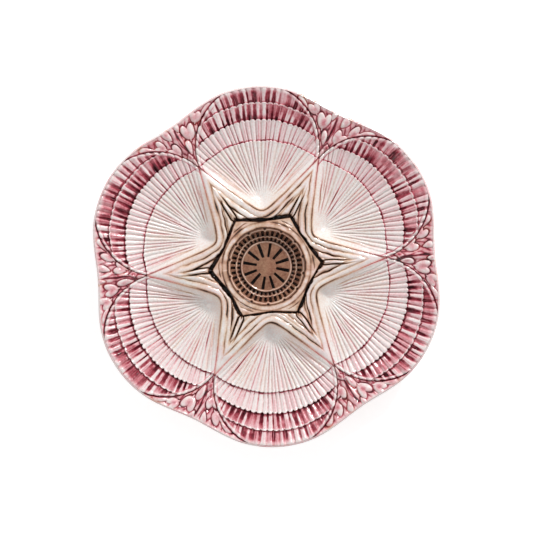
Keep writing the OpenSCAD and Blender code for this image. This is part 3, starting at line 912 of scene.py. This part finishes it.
def stem_star():
    rows = STAR_ROWS + 6
    base = wrapped_base(STAR_COLUMNS, rows, ball=False)
    column, row = ring_places(base, STAR_COLUMNS, rows, 2 * math.pi)
    steps = np.linspace(0, 46, 2000)
    meets = steps[np.argmax(edge_distance(fold_x(steps), steps) < 0)]
    line = np.linspace(0, meets, 600)
    length = np.concatenate([[0], np.cumsum(np.hypot(np.diff(fold_x(line)), np.diff(line)))])
    per_half = STAR_COLUMNS / LOBES / 2
    in_sector = column % (2 * per_half)
    from_lobe = np.minimum(in_sector, 2 * per_half - in_sector) / per_half
    y = np.interp(from_lobe * length[-1], length, line)
    off = np.arctan2(y, fold_x(y))
    off = np.where(from_lobe > 0.9999, SECTOR / 2, off)
    side = np.where(in_sector > per_half, -1, 1)
    sector = np.floor(column / (2 * per_half)) + (side < 0)
    angle = FIRST_LOBE + sector * SECTOR + side * off
    end = np.hypot(fold_x(y), y)
    start = collar_edge(angle) - 0.05
    under = np.array([1.0, 0.8, 0.5, 0.2, 0.0])
    over = row - STAR_ROWS
    share = np.where(over < 0, row / (STAR_ROWS - 1), under[np.clip(over, 0, 4).astype(int)])
    radius = start + (end - start) * share
    x, y = radius * np.cos(angle), radius * np.sin(angle)
    top, rose, umber = star_surface(x, y)
    z = np.where(over >= 0, WEB_Z - MOAT_H - LEAF - 0.6 * share, top)
    finish("stem_star_glazed", base, x, y, z, STEM_GLAZE, ["stem_star"], rose, umber)


COLLAR_COLUMNS = 720
COLLAR_ROWS = 46


def collar():
    rows = COLLAR_ROWS + 3
    base = wrapped_base(COLLAR_COLUMNS, rows, ball=False)
    column, row = ring_places(base, COLLAR_COLUMNS, rows, 2 * math.pi)
    angle = column / COLLAR_COLUMNS * 2 * math.pi
    over = row - COLLAR_ROWS
    share = np.where(over < 0, row / (COLLAR_ROWS - 1), np.array([1.0, 0.5, 0.0])[np.clip(over, 0, 2).astype(int)])
    edge = collar_edge(angle)
    radius = CUP_R + (edge - CUP_R) * share
    x, y = radius * np.cos(angle), radius * np.sin(angle)
    top, rose, umber = collar_surface(x, y)
    z = np.where(over >= 0, WEB_Z - MOAT_H - LEAF, top)
    umber = np.where(over >= 0, 0.95, umber)
    finish("collar_glazed", base, x, y, z, RING_GLAZE, ["collar"], rose, umber)


CUP_COLUMNS = 504
CUP_ROWS = 112


def sauce_cup():
    shares = np.array([1.0, 0.66, 0.33, 0.0])
    rows = CUP_ROWS + len(shares)
    base = wrapped_base(CUP_COLUMNS, rows, ball=True)
    column, row = ball_places(base, CUP_COLUMNS, rows)
    angle = column / CUP_COLUMNS * 2 * math.pi
    over = row - CUP_ROWS - 1
    share = np.where(over < 0, np.minimum(1, row / CUP_ROWS), shares[np.clip(over, 0, 3).astype(int)])
    radius = (CUP_R + 0.05) * share
    x, y = radius * np.cos(angle), radius * np.sin(angle)
    top, rose, umber = cup_surface(x, y)
    z = np.where(over >= 0, CUP_FLOOR - LEAF, top)
    finish("sauce_cup_glazed", base, x, y, z, CUP_GLAZE, ["sauce_cup"], rose, umber)


BACK_COLUMNS = 420
BACK_ROWS = 84


def plate_back():
    """The glazed back, which runs on unbroken from the rim's roll to the middle."""
    rows = BACK_ROWS + 7
    base = wrapped_base(BACK_COLUMNS, rows, ball=True)
    column, row = ball_places(base, BACK_COLUMNS, rows)
    angle = column / BACK_COLUMNS * 2 * math.pi
    off = off_lobe(angle)
    tuck = LIP * (1 - math.cos(ROLL_TURNS[-1])) - 0.35
    end = rim_at(off) - tuck
    share = np.clip(row / BACK_ROWS, 0, 1)
    hidden = np.array([0.995, 0.9, 0.7, 0.5, 0.3, 0.12, 0.0])
    over = row - BACK_ROWS - 1
    share = np.where(over < 0, share, hidden[np.clip(over, 0, 6).astype(int)])
    radius = end * share
    x, y = radius * np.cos(angle), radius * np.sin(angle)
    z = under_surface(x, y)
    last = rim_z(off) - LIP + LIP * math.sin(ROLL_TURNS[-1]) + 0.12
    z = z + (last - z) * smooth(0.955, 1, share)
    z = z + np.where(over >= 0, 1.0, 0.0) * smooth(1.0, 0.97, share)
    foot = ridge(np.maximum(0, np.abs(radius - FOOT_R + FOOT_W / 2) - FOOT_W / 2), 1.0)
    rose = 0.13 + 0.05 * drift(x, y, 22, 601) + 0.10 * smooth(100, 118, radius)
    umber = 0.12 + 0.06 * drift(x, y, 30, 602) + 0.10 * foot
    finish("plate_back_glazed", base, x, y, z, BACK_GLAZE, [], np.clip(rose, 0, 1), umber)


def foot_ring():
    """The foot, spun from its section, with a worn standing edge and a flare into the back."""
    inner, outer, rounding, flare = FOOT_R - FOOT_W, FOOT_R, 1.0, 1.1
    section = []
    for mid_x, mid_z, sweep in ((outer - rounding, rounding, (-90, 0)), (inner + rounding, rounding, (180, 270))):
        arc = [math.radians(sweep[0] + (sweep[1] - sweep[0]) * i / 6) for i in range(7)]
        points = [(mid_x + rounding * math.cos(a), mid_z + rounding * math.sin(a)) for a in arc]
        section.append(points)
    up_out = [(outer + flare * (1 - math.cos(a)), FOOT_H - flare + flare * math.sin(a) + 0.15)
              for a in np.radians([0, 30, 60, 90])]
    up_in = [(2 * (inner + FOOT_W / 2) - px, pz) for px, pz in reversed(up_out)]
    outline = section[0] + up_out + up_in + section[1]
    bm = bmesh.new()
    verts = [bm.verts.new((px * MM, 0, pz * MM)) for px, pz in outline]
    edges = [bm.edges.new((a, b)) for a, b in zip(verts, verts[1:] + verts[:1])]
    bmesh.ops.spin(bm, geom=verts + edges, cent=(0, 0, 0), axis=(0, 0, 1), angle=2 * math.pi, steps=192, use_merge=True)
    bmesh.ops.recalc_face_normals(bm, faces=bm.faces)
    mesh = new_mesh("foot", bm)
    co = points_of(mesh) / MM
    finish("foot_ring_bisque", mesh, co[:, 0], co[:, 1], np.maximum(0, co[:, 2]), FOOT_CLAY, ["foot_ring"])


shell_wells()
seaweed_panels()
stem_star()
collar()
sauce_cup()
plate_back()
foot_ring()


# Stage, light and camera

def floor():
    """A smooth white sheet that keeps the plate's shadow, shows white from above and is clear from below."""
    bm = bmesh.new()
    bmesh.ops.create_grid(bm, x_segments=1, y_segments=1, size=4)
    sheet = bpy.data.objects.new("floor", new_mesh("floor", bm))
    sheet.location.z = -0.2 * MM
    bpy.context.scene.collection.objects.link(sheet)
    material = bpy.data.materials.new("white_sheet")
    material.use_nodes = True
    tree = material.node_tree
    tree.nodes.clear()
    diffuse = add(tree, "ShaderNodeBsdfDiffuse")
    diffuse.inputs["Color"].default_value = (0.93, 0.93, 0.93, 1)
    glow = add(tree, "ShaderNodeEmission")
    glow.inputs["Strength"].default_value = 0.55
    rays = add(tree, "ShaderNodeLightPath")
    seen = add(tree, "ShaderNodeMath", {0: rays.outputs["Is Camera Ray"], 1: rays.outputs["Is Glossy Ray"]}, operation="MAXIMUM")
    seen = add(tree, "ShaderNodeMath", {0: seen.outputs[0], 1: rays.outputs["Is Transmission Ray"]}, operation="MAXIMUM")
    black = add(tree, "ShaderNodeEmission")
    black.inputs["Strength"].default_value = 0.0
    lit = add(tree, "ShaderNodeMixShader", {0: seen.outputs[0], 1: black.outputs[0], 2: glow.outputs[0]})
    both = add(tree, "ShaderNodeAddShader", {0: diffuse.outputs[0], 1: lit.outputs[0]})
    clear = add(tree, "ShaderNodeBsdfTransparent")
    under = add(tree, "ShaderNodeNewGeometry").outputs["Backfacing"]
    sheet_mix = add(tree, "ShaderNodeMixShader", {0: under, 1: both.outputs[0], 2: clear.outputs[0]})
    add(tree, "ShaderNodeOutputMaterial", {"Surface": sheet_mix.outputs[0]})
    sheet.data.materials.append(material)


def lamp(name, place, size, power, aim=(0, 0, 0.02)):
    data = bpy.data.lights.new(name, "AREA")
    data.shape = "DISK"
    data.size = size
    data.energy = power
    item = bpy.data.objects.new(name, data)
    item.location = place
    item.rotation_euler = (Vector(aim) - Vector(place)).to_track_quat("-Z", "Y").to_euler()
    bpy.context.scene.collection.objects.link(item)


# The room: pale walls, and a darker ceiling over the camera that keeps dark glaze deep
SKY_STOPS = ((0.0, "#bcbcbc"), (0.60, "#cccccc"), (0.82, "#bababa"), (0.95, "#646464"), (1.0, "#484848"))


def lights():
    world = bpy.data.worlds.new("studio")
    bpy.context.scene.world = world
    world.use_nodes = True
    tree = world.node_tree
    tree.nodes.clear()
    up = add(tree, "ShaderNodeSeparateXYZ", {"Vector": add(tree, "ShaderNodeTexCoord").outputs["Generated"]})
    walls = ramp(tree, SKY_STOPS, up.outputs["Z"])
    sky = add(tree, "ShaderNodeBackground", {"Color": walls})
    add(tree, "ShaderNodeOutputWorld", {"Surface": sky.outputs[0]})
    lamp("key", (0.95, 1.45, 1.02), 0.30, 23)
    lamp("glint", (0.62, 1.05, 1.10), 0.05, 4)
    lamp("fill", (-1.3, -0.6, 1.3), 1.2, 5)


CAMERA_LENS = 85.0
CAMERA_SENSOR = 36.0
VIEW_W = 0.3598
CAMERA_ROLL = math.radians(4.3)


def camera():
    """Looks straight down, turned a little, as the plate lies in the photograph."""
    data = bpy.data.cameras.new("camera")
    data.lens = CAMERA_LENS
    data.sensor_width = CAMERA_SENSOR
    item = bpy.data.objects.new("camera", data)
    item.location = (0, 0, PLATE_H * MM + VIEW_W * CAMERA_LENS / CAMERA_SENSOR)
    item.rotation_euler = (0, 0, -CAMERA_ROLL)
    bpy.context.scene.collection.objects.link(item)
    bpy.context.scene.camera = item


floor()
lights()
camera()
bpy.context.scene.view_settings.view_transform = "Standard"
